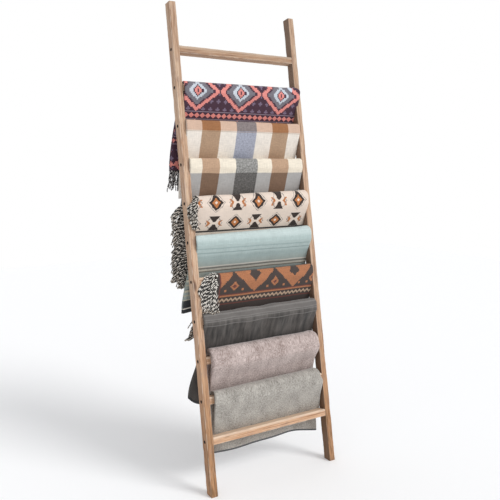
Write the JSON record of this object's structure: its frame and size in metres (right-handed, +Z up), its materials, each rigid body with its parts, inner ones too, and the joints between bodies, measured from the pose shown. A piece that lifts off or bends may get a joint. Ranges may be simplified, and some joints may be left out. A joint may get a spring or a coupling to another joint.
{
  "type": "blanket ladder",
  "caption": "Leaning timber blanket ladder with square stiles, evenly spaced rungs and folded throws hung over the rungs.",
  "frame": {"origin": "on the floor, midway between the centres of the two feet", "axes": "+X to the right seen from the front, +Y back to the wall, +Z up; the ladder leans back 9.8 degrees"},
  "size_m": [0.79, 0.4334, 2.2526],
  "materials": {
    "timber": "planed fir, oiled, eased edges",
    "screws": "black phosphated",
    "plum_cloth": "woven, matt",
    "upper_plaid_cloth": "woven, matt",
    "lower_plaid_cloth": "woven, matt",
    "ivory_cloth": "woven, matt",
    "aqua_cloth": "woven, matt",
    "rust_cloth": "woven, matt",
    "charcoal_cloth": "woven, matt",
    "mauve_cloth": "woven, matt",
    "silver_cloth": "woven, matt",
    "plum_fringe": "twisted yarn ends",
    "ivory_fringe": "twisted yarn ends",
    "rust_fringe": "twisted yarn ends",
    "label": "woven tape, blank"
  },
  "bodies": {
    "root": {"left_stile": "timber", "right_stile": "timber", "rung_01": "timber", "rung_02": "timber", "rung_03": "timber", "rung_04": "timber", "rung_05": "timber", "rung_06": "timber", "rung_07": "timber", "rung_08": "timber", "rung_09": "timber", "rung_10": "timber", "rung_11": "timber", "left_screws": "screws", "right_screws": "screws", "plum_throw": "plum_cloth", "upper_plaid_throw": "upper_plaid_cloth", "lower_plaid_throw": "lower_plaid_cloth", "ivory_throw": "ivory_cloth", "aqua_throw": "aqua_cloth", "rust_throw": "rust_cloth", "charcoal_throw": "charcoal_cloth", "mauve_throw": "mauve_cloth", "silver_throw": "silver_cloth", "plum_fringe": "plum_fringe", "ivory_fringe": "ivory_fringe", "rust_fringe": "rust_fringe", "blank_label": "label"}
  },
  "joints": []
}
